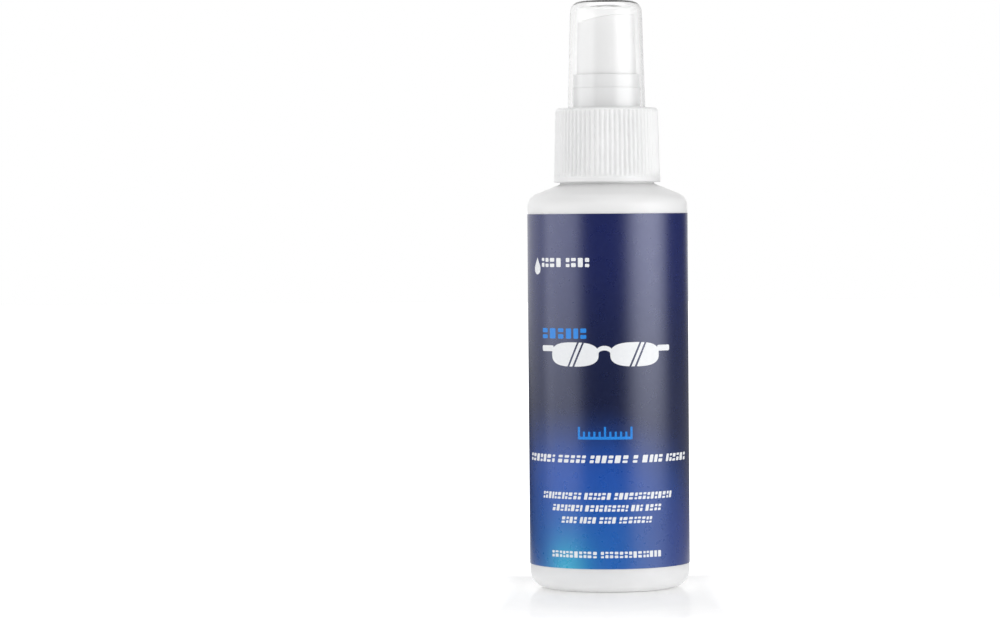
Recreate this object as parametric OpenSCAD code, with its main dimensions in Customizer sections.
// Fine-mist lens cleaning spray: a round white bottle with a wrap label, a ribbed screw closure,
// a clear overcap and a vertical-stroke pump. Millimetres, +Z up, the origin at the centre of the
// base. The label's front faces -Y and the nozzle faces +X.

/* [Bottle] */
// Outer radius of the body
body_r = 20.4; // [20.2:0.1:20.8]
// Wall thickness of the body
body_wall = 0.9; // [0.7:0.1:1.1]
// Radius of the rounded corner between base and side
base_corner_r = 4.5; // [4:0.5:5]
// Radius of the rounded corner between side and shoulder
shoulder_corner_r = 3.4; // [3:0.2:3.8]
// Angle of the shoulder above the horizontal
shoulder_slope = 22.2; // [21:0.2:23]
// Radius of the hollow under the base
pushup_r = 13.6; // [12:0.2:14]
// Depth of the hollow under the base
pushup_depth = 1.5; // [1:0.1:2]

/* [Neck finish 24-410] */
// Height of the top of the shoulder
neck_base_z = 103.15; // [103:0.05:103.4]
// Radius of the bead under the closure
neck_bead_r = 12.05; // [11.9:0.05:12.1]
// Height of the bead
neck_bead_h = 1.45; // [1:0.05:1.5]
// Outer radius of the neck wall
neck_r = 10.8; // [10.7:0.05:10.9]
// Radius of the mouth
mouth_r = 9.3; // [9.2:0.1:9.4]
// Height of the rim of the mouth
rim_z = 119.5; // [119.5:0.1:119.6]
// Thread pitch, eight threads to the inch
thread_pitch = 3.175; // [3.175]
// Turns of thread on the neck and in the closure
thread_turns = 1.5; // [1.25:0.25:1.5]
// Crest radius of the neck thread
neck_crest_r = 11.85; // [11.8:0.05:11.9]
// Crest radius of the closure thread
closure_crest_r = 11.15; // [11.1:0.05:11.2]

/* [Label] */
// Thickness of the label film
label_t = 0.1; // [0.08:0.01:0.12]
// Height of the lower edge of the label
label_z0 = 6.3; // [6:0.1:7]
// Height of the upper edge of the label
label_z1 = 95.55; // [95:0.05:96]
// Angle that the label wraps round the body
label_wrap = 359.2; // [358:0.2:359.4]
// Direction of the label's seam, counted from +X
label_seam_at = 120; // [100:5:140]

/* [Closure] */
// Radius of the smooth band at the foot of the closure
closure_r = 13.6; // [13.5:0.05:13.7]
// Height of the foot of the closure
closure_z0 = 103.6; // [103.5:0.05:103.7]
// Height where the ribs begin
rib_z0 = 105; // [104.8:0.1:105.5]
// Height where the ribs end
rib_z1 = 121.5; // [121:0.1:121.5]
// Height of the closure's shoulder
closure_z1 = 122.5; // [122.4:0.1:122.6]
// Number of grip ribs
rib_count = 66; // [48:6:72]
// Depth of the grooves between the ribs
rib_depth = 0.35; // [0.2:0.05:0.4]
// Radius of the closure's shoulder
shoulder_r = 13.1; // [13:0.05:13.2]
// Radius of the rounded edge of the closure's shoulder
closure_edge_r = 0.9; // [0.6:0.1:1]
// Inner radius of the closure's skirt
closure_bore_r = 12.2; // [12.2:0.05:12.25]
// Radius of the foot of the turret
turret_foot_r = 8.7; // [8.6:0.05:8.7]
// Height of the step on the turret
turret_step_z = 127.6; // [127:0.1:128]
// Radius of the turret above its step
turret_r = 8.5; // [8.4:0.05:8.5]
// Bore of the turret
turret_bore_r = 7.8; // [7.8:0.05:7.9]
// Height of the top of the turret
turret_z1 = 131; // [130.5:0.1:131.5]

/* [Overcap] */
// Outer radius of the overcap at its mouth
overcap_r = 9.9; // [9.8:0.05:10]
// Outer radius of the overcap just below its rounded top
overcap_top_r = 9.1; // [9:0.05:9.2]
// Height of the top of the overcap
overcap_z1 = 149.8; // [149.8:0.1:150.4]
// Wall thickness of the overcap
overcap_wall = 0.95; // [0.8:0.05:1]
// Radius of the rounded edge at the top
overcap_edge_r = 2.8; // [2.4:0.1:3]

/* [Actuator] */
// Radius of the actuator at its foot
actuator_r = 7.65; // [7.6:0.01:7.66]
// Radius of the actuator at its top
actuator_top_r = 7.25; // [7.2:0.01:7.3]
// Height of the foot of the actuator
actuator_z0 = 128; // [128:0.1:128.4]
// Height of the highest point of the actuator
actuator_z1 = 146.7; // [146.4:0.1:146.8]
// Height of the finger rest at its low edge
finger_low_z = 144.3; // [144:0.1:144.6]
// Slope of the finger rest, rising towards the nozzle
finger_slope = 9.2; // [8:0.2:10]
// Radius of the hollow of the finger rest
finger_hollow_r = 58; // [45:1:70]
// Height of the nozzle
nozzle_z = 140.5; // [140:0.1:141]

/* [Pump] */
// Stroke of the pump
stroke = 5.2; // [4.8:0.1:5.2]
// Radius of the stem above its collar
stem_r = 1.95; // [1.95]
// Height of the top of the stem
stem_z1 = 137.4; // [137:0.1:137.4]
// Bore of the pump chamber
chamber_r = 3.2; // [3.2]
// Radius of the inlet ball
ball_r = 1.5; // [1.5]
// Outer radius of the dip tube
dip_r = 1.9; // [1.9]
// Height of the lower end of the dip tube
dip_z0 = 4.2; // [4:0.1:6]
// Radius of the spring's wire
wire_r = 0.35; // [0.3:0.01:0.35]
// Mean radius of the spring
spring_r = 3.65; // [3.65]
// Turns of the spring
spring_turns = 6; // [5:0.5:6]

/* [Hidden] */
$fn = 96;

// How far a cutter runs past the face it opens.
over = 1;
// Gap between two flat faces that meet, and a running gap on a radius.
face_gap = 0.02;
running_gap = 0.05;

// Crest radii of the ribs at their two ends, a little inside the plain parts that they meet.
rib_inset = 0.06;
rib_r = closure_r - rib_inset;
rib_top_r = shoulder_r - rib_inset;

// Places that several pump pieces share.
flange_z0 = rim_z + face_gap + 0.8;
flange_z1 = flange_z0 + 0.9;
seal_z0 = 119.1;
seal_z1 = 119.9;
barrel_r = 5.4;
barrel_bore_r = 4.35;
step_z = 108;
chamber_wall_r = 4.2;
lip_z0 = 96.6;
lip_z1 = 97;
seat_z = 93.4;
seat_r = 1;
ball_pocket_r = 1.9;
socket_z1 = 92.6;
tail_z0 = 84;
tail_r = 2.9;
stem_flange_z0 = 118;
stem_flange_z1 = 119.05;
stem_shoulder_z = 108;
stem_shoulder_r = 2.7;
stem_shaft_r = 2.2;
stem_foot_z0 = 102.6;
stem_foot_z1 = 103.4;
collar_hole_r = stem_r + 0.1;

// Thread sections, and the runout at each end of a thread.
rings_per_turn = 24;
runout_rings = 3;
runout_min = 0.2;
thread_embed = 0.4;
neck_thread_z = rim_z - 7.2;
load_gap = 0.15;
neck_thread_base_w = 2.2;
neck_thread_crest_w = 0.9;
closure_thread_base_w = 1.7;
closure_thread_crest_w = 0.7;
// Half-widths of both threads where they pass each other, added up.
thread_half_widths = 1.1;

// A cylinder from one height to another.
module rod(r, z0, z1) {
    translate([0, 0, z0]) cylinder(r = r, h = z1 - z0);
}

// A round tube with a straight bore.
module ring(r_out, r_in, z0, z1) {
    difference() {
        rod(r_out, z0, z1);
        rod(r_in, z0 - over, z1 + over);
    }
}

// A frustum from one height to another.
module taper(r0, r1, z0, z1) {
    translate([0, 0, z0]) cylinder(r1 = r0, r2 = r1, h = z1 - z0);
}

// A solid swept through rings of points, each ring with the same number of points.
module sweep(rings) {
    n = len(rings) - 1;
    m = len(rings[0]);
    points = [for (ring_points = rings) each ring_points];
    sides = [
        for (i = [0:n - 1], k = [0:m - 1])
            let (a = i * m + k, b = i * m + (k + 1) % m)
                each [[a, b, b + m], [a, b + m, a + m]]
    ];
    first_end = [for (k = [m - 1:-1:0]) k];
    last_end = [for (k = [0:m - 1]) n * m + k];
    polyhedron(points = points, faces = concat(sides, [first_end, last_end]), convexity = 10);
}

// A right-hand trapezoid thread. root_r lies inside the wall, and crest_r may be either side of it.
module thread(root_r, crest_r, base_w, crest_w, z0) {
    n = thread_turns * rings_per_turn;
    side = sign(crest_r - root_r);
    sweep([
        for (i = [0:n])
            let (a = 360 * i / rings_per_turn)
            let (z = z0 + thread_pitch * i / rings_per_turn)
            let (rise = min(1, runout_min + i / runout_rings, runout_min + (n - i) / runout_rings))
            let (c = root_r + (crest_r - root_r) * rise)
                [
                    for (p = [[root_r, -base_w], [c, -crest_w], [c, crest_w], [root_r, base_w]])
                        [p[0] * cos(a), p[0] * sin(a), z + side * p[1] / 2]
                ]
    ]);
}

/* Bottle */

// Half of the body's outline, moved inwards by inset, as high as the shoulder's top.
module body_half(inset, neck_side_r) {
    base_x = body_r - base_corner_r;
    corner_x = body_r - shoulder_corner_r;
    rise = tan(shoulder_slope);
    line_z = neck_base_z - inset / cos(shoulder_slope);
    corner_z = neck_base_z + (neck_bead_r - corner_x) * rise - shoulder_corner_r / cos(shoulder_slope);
    corner_r = shoulder_corner_r - inset;
    top_z = line_z + (neck_bead_r - neck_side_r) * rise;
    translate([0, inset]) square([base_x, corner_z - inset]);
    translate([0, base_corner_r]) square([body_r - inset, corner_z - base_corner_r]);
    translate([base_x, base_corner_r]) circle(r = base_corner_r - inset);
    translate([corner_x, corner_z]) circle(r = corner_r);
    polygon([
        [0, corner_z],
        [corner_x, corner_z],
        [corner_x + corner_r * sin(shoulder_slope), corner_z + corner_r * cos(shoulder_slope)],
        [neck_side_r, top_z],
        [0, top_z]
    ]);
}

// Half of the hollow under the base, grown by grow for the floor above it.
module pushup_half(grow) {
    draft = 1.2;
    polygon([
        [0, -over],
        [pushup_r + grow, -over],
        [pushup_r + grow, 0],
        [pushup_r + grow - draft, pushup_depth + grow],
        [0, pushup_depth + grow]
    ]);
}

module bottle_outside_half() {
    bead_edge_r = 0.4;
    bead_z1 = neck_base_z + neck_bead_h;
    difference() {
        body_half(0, neck_bead_r);
        pushup_half(0);
    }
    translate([0, neck_base_z]) square([neck_r, rim_z - neck_base_z]);
    translate([0, neck_base_z]) square([neck_bead_r, neck_bead_h - bead_edge_r]);
    translate([0, neck_base_z]) square([neck_bead_r - bead_edge_r, neck_bead_h]);
    translate([neck_bead_r - bead_edge_r, bead_z1 - bead_edge_r]) circle(r = bead_edge_r);
}

module bottle_inside_half() {
    difference() {
        body_half(body_wall, mouth_r);
        pushup_half(body_wall);
    }
    translate([0, neck_base_z - over]) square([mouth_r, rim_z - neck_base_z + 2 * over]);
}

module bottle() {
    color("white") {
        rotate_extrude() difference() {
            bottle_outside_half();
            bottle_inside_half();
        }
        thread(neck_r - thread_embed, neck_crest_r, neck_thread_base_w, neck_thread_crest_w,
            neck_thread_z);
    }
}

module label() {
    seam_start = label_seam_at + (360 - label_wrap) / 2;
    color("midnightblue") rotate([0, 0, seam_start]) rotate_extrude(angle = label_wrap)
        translate([body_r, label_z0]) square([label_t, label_z1 - label_z0]);
}

/* Closure and overcap */

// Outline of the ribbed skirt at its foot.
module rib_outline() {
    pitch = 360 / rib_count;
    crest_part = 0.16;
    foot_part = 0.36;
    groove_r = rib_r - rib_depth;
    polygon([
        for (i = [0:rib_count - 1])
            for (p = [[groove_r, -foot_part], [rib_r, -crest_part], [rib_r, crest_part],
                [groove_r, foot_part]])
                let (a = pitch * (i + p[1]))
                    [p[0] * cos(a), p[0] * sin(a)]
    ]);
}

module closure_shoulder() {
    edge_x = shoulder_r - closure_edge_r;
    rotate_extrude() {
        translate([0, rib_z1]) square([edge_x, closure_z1 - rib_z1]);
        translate([0, rib_z1]) square([shoulder_r, closure_z1 - closure_edge_r - rib_z1]);
        intersection() {
            translate([edge_x, closure_z1 - closure_edge_r]) circle(r = closure_edge_r);
            translate([0, rib_z1]) square([shoulder_r + over, closure_z1 - rib_z1]);
        }
    }
}

module closure() {
    ceiling_z = flange_z1 + 0.08;
    mouth_chamfer = 0.4;
    color("whitesmoke") {
        difference() {
            union() {
                rod(closure_r, closure_z0, rib_z0);
                translate([0, 0, rib_z0])
                    linear_extrude(height = rib_z1 - rib_z0, scale = rib_top_r / rib_r)
                        rib_outline();
                closure_shoulder();
                rod(turret_foot_r, rib_z1, turret_step_z);
                rod(turret_r, turret_step_z, turret_z1);
            }
            rod(closure_bore_r, closure_z0 - over, ceiling_z);
            taper(closure_bore_r + mouth_chamfer, closure_bore_r, closure_z0 - face_gap,
                closure_z0 + mouth_chamfer);
            rod(turret_bore_r, ceiling_z - over, turret_z1 + over);
        }
        thread(closure_bore_r + thread_embed, closure_crest_r, closure_thread_base_w,
            closure_thread_crest_w, neck_thread_z - thread_half_widths - load_gap);
    }
}

// Half of the overcap's outline, moved inwards by inset.
module overcap_half(inset, z0) {
    edge_z = overcap_z1 - overcap_edge_r;
    edge_x = overcap_top_r - overcap_edge_r;
    polygon([[0, z0], [overcap_r - inset, z0], [overcap_top_r - inset, edge_z], [0, edge_z]]);
    translate([0, edge_z]) square([edge_x, overcap_edge_r - inset]);
    translate([edge_x, edge_z]) circle(r = overcap_edge_r - inset);
}

module overcap() {
    overcap_z0 = closure_z1 + face_gap;
    ceiling_z = overcap_z1 - overcap_wall;
    grip_h = 3.5;
    gate_r = 1.4;
    gate_depth = 0.6;
    gate_boss_r = 2.1;
    gate_boss_h = 1;
    color("azure", 0.35) difference() {
        union() {
            rotate_extrude() difference() {
                overcap_half(0, overcap_z0);
                overcap_half(overcap_wall, overcap_z0);
            }
            ring(overcap_r - overcap_wall / 2, turret_foot_r + running_gap + 0.03, overcap_z0,
                overcap_z0 + grip_h);
            rod(gate_boss_r, ceiling_z - gate_boss_h, overcap_z1 - overcap_wall / 2);
        }
        rod(gate_r, overcap_z1 - gate_depth, overcap_z1 + over);
    }
}

/* Actuator */

// A rod along +X at the height of the nozzle.
module nozzle_rod(r, x0, x1) {
    translate([x0, 0, nozzle_z]) rotate([0, 90, 0]) cylinder(r = r, h = x1 - x0);
}

pocket_r = 2.2;
pocket_x = 4.2;
post_r = 1;
post_x = 6.3;
nozzle_face_x = 7.32;

module actuator_outside() {
    edge_r = 0.8;
    edge_x = actuator_top_r - edge_r;
    edge_z = actuator_z1 - edge_r;
    rotate_extrude() {
        polygon([[0, actuator_z0], [actuator_r, actuator_z0], [actuator_top_r, edge_z], [0, edge_z]]);
        translate([0, edge_z]) square([edge_x, edge_r]);
        translate([edge_x, edge_z]) circle(r = edge_r);
    }
}

// The long shallow hollow of the finger rest.
module finger_hollow() {
    length = 60;
    translate([-actuator_top_r, 0, finger_low_z]) rotate([0, -finger_slope, 0])
        translate([-length / 2, 0, finger_hollow_r]) rotate([0, 90, 0])
            cylinder(r = finger_hollow_r, h = length);
}

module actuator() {
    wall = 1.1;
    hollow_z1 = 142;
    boss_r = 3.3;
    boss_z0 = 130.2;
    nozzle_boss_r = 3.2;
    socket_z1 = stem_z1 + 0.1;
    feed_r = 0.8;
    feed_z1 = 142.4;
    side_feed_r = 0.45;
    side_feed_z = nozzle_z + 1.4;
    color("white") difference() {
        actuator_outside();
        finger_hollow();
        difference() {
            taper(actuator_r - wall, actuator_top_r - wall, actuator_z0 - over, hollow_z1);
            rod(boss_r, boss_z0, hollow_z1 + over);
            nozzle_rod(nozzle_boss_r, 0, actuator_r);
        }
        rod(stem_r + running_gap, boss_z0 - over, socket_z1);
        rod(feed_r, socket_z1 - over, feed_z1);
        translate([0, 0, side_feed_z]) rotate([0, 90, 0]) cylinder(r = side_feed_r, h = pocket_x + 0.2);
        difference() {
            nozzle_rod(pocket_r, pocket_x, actuator_r + over);
            nozzle_rod(post_r, pocket_x - over, post_x);
        }
    }
}

module nozzle_insert() {
    orifice_r = 0.2;
    cone_r = 0.9;
    cone_depth = 0.5;
    swirl_x = 6.6;
    color("whitesmoke") difference() {
        nozzle_rod(pocket_r - running_gap, pocket_x + 0.15, nozzle_face_x);
        nozzle_rod(post_r + 0.2, pocket_x, swirl_x);
        nozzle_rod(orifice_r, pocket_x, nozzle_face_x + over);
        translate([nozzle_face_x - cone_depth, 0, nozzle_z]) rotate([0, 90, 0])
            cylinder(r1 = orifice_r, r2 = cone_r, h = cone_depth + face_gap);
    }
}

/* Pump */

module stem() {
    bore_r = 0.8;
    bore_z0 = 103.9;
    hole_r = 0.45;
    hole_z = bore_z0 + 0.5;
    foot_r = 2.75;
    flange_r = 4.1;
    color("white") difference() {
        union() {
            rod(foot_r, stem_foot_z0, stem_foot_z1);
            rod(stem_shaft_r, stem_foot_z0, stem_shoulder_z);
            rod(stem_shoulder_r, stem_shoulder_z, stem_flange_z0);
            rod(flange_r, stem_flange_z0, stem_flange_z1);
            rod(stem_r, stem_foot_z1, stem_z1);
        }
        rod(bore_r, bore_z0, stem_z1 + over);
        translate([0, 0, hole_z]) rotate([0, 90, 0])
            cylinder(r = hole_r, h = 4 * stem_shaft_r, center = true);
    }
}

// A floating piston: two wiping lips round a thinner waist.
module piston() {
    play = 0.5;
    z0 = stem_foot_z1 + face_gap;
    z1 = stem_shoulder_z - play;
    lip_h = 1;
    waist = 0.35;
    lip_r = chamber_r - running_gap;
    color("gainsboro") difference() {
        union() {
            rod(lip_r, z0, z0 + lip_h);
            rod(lip_r - waist, z0, z1);
            rod(lip_r, z1 - lip_h, z1);
        }
        rod(stem_shaft_r + running_gap, z0 - over, z1 + over);
    }
}

module return_spring() {
    sides = 8;
    rings = spring_turns * 16;
    foot_z = step_z + wire_r + face_gap;
    rise = stem_flange_z0 - face_gap - wire_r - foot_z;
    closed = 0.75;
    closed_rise = closed * wire_r * 2.1;
    path = [[0, 0], [closed, closed_rise], [spring_turns - closed, rise - closed_rise], [spring_turns, rise]];
    color("silver") sweep([
        for (i = [0:rings])
            let (turn = spring_turns * i / rings)
            let (a = 360 * turn)
            let (z = foot_z + lookup(turn, path))
                [
                    for (k = [0:sides - 1])
                        let (b = 360 * k / sides)
                        let (r = spring_r + wire_r * cos(b))
                            [r * cos(a), r * sin(a), z + wire_r * sin(b)]
                ]
    ]);
}

module stem_seal() {
    color("dimgray")
        ring(barrel_bore_r - running_gap, stem_r + running_gap, seal_z0, seal_z1 - face_gap);
}

// The collar that closes the pump round the stem and snaps into the housing.
module stem_collar() {
    plug_r = barrel_bore_r - running_gap;
    flange_r = 7.2;
    flange_h = 1.1;
    tower_r = 3.4;
    tower_z1 = 124.6;
    color("white") difference() {
        union() {
            rod(plug_r, seal_z1, flange_z1 + over / 2);
            rod(flange_r, flange_z1 + face_gap, flange_z1 + face_gap + flange_h);
            rod(tower_r, flange_z1, tower_z1);
        }
        rod(collar_hole_r, seal_z1 - over, tower_z1 + over);
    }
}

module pump_housing() {
    flange_r = 10.4;
    color("white") difference() {
        union() {
            rod(flange_r, flange_z0, flange_z1);
            rod(barrel_r, step_z - 1.2, flange_z1);
            taper(chamber_wall_r, barrel_r, step_z - 2.4, step_z - 1.2);
            rod(chamber_wall_r, seat_z - 0.6, step_z);
            taper(tail_r, chamber_wall_r, seat_z - 1.9, seat_z - 0.6);
            rod(tail_r, tail_z0, seat_z);
        }
        rod(barrel_bore_r, step_z, flange_z1 + over);
        rod(chamber_r, lip_z1, step_z + over);
        rod(ball_r - 0.25, lip_z0 - face_gap, lip_z1 + face_gap);
        rod(ball_pocket_r, seat_z + ball_pocket_r - seat_r, lip_z0);
        taper(seat_r, ball_pocket_r, seat_z, seat_z + ball_pocket_r - seat_r);
        rod(seat_r, socket_z1 - face_gap, seat_z + face_gap);
        rod(dip_r + 0.03, tail_z0 - over, socket_z1);
    }
}

module inlet_ball() {
    seat_angle = 45;
    rest_z = seat_z - seat_r + ball_r / sin(seat_angle) + 0.04;
    color("lightgray") translate([0, 0, rest_z]) sphere(r = ball_r);
}

module neck_gasket() {
    color("lightgray") ring(neck_r - 0.1, barrel_r + 0.1, rim_z + face_gap, flange_z0 - face_gap);
}

// The tube that reaches down to the floor of the bottle, with a slanting lower end.
module dip_tube() {
    bore = 1.3;
    cut_slope = 40;
    cut_size = 12;
    color("ghostwhite") difference() {
        ring(dip_r, bore, dip_z0, socket_z1 - 0.1);
        translate([-dip_r, 0, dip_z0]) rotate([0, cut_slope, 0])
            translate([-cut_size / 2, -cut_size / 2, -cut_size]) cube(cut_size);
    }
}

bottle();
label();
closure();
overcap();
actuator();
nozzle_insert();
stem();
piston();
return_spring();
stem_seal();
stem_collar();
pump_housing();
inlet_ball();
neck_gasket();
dip_tube();
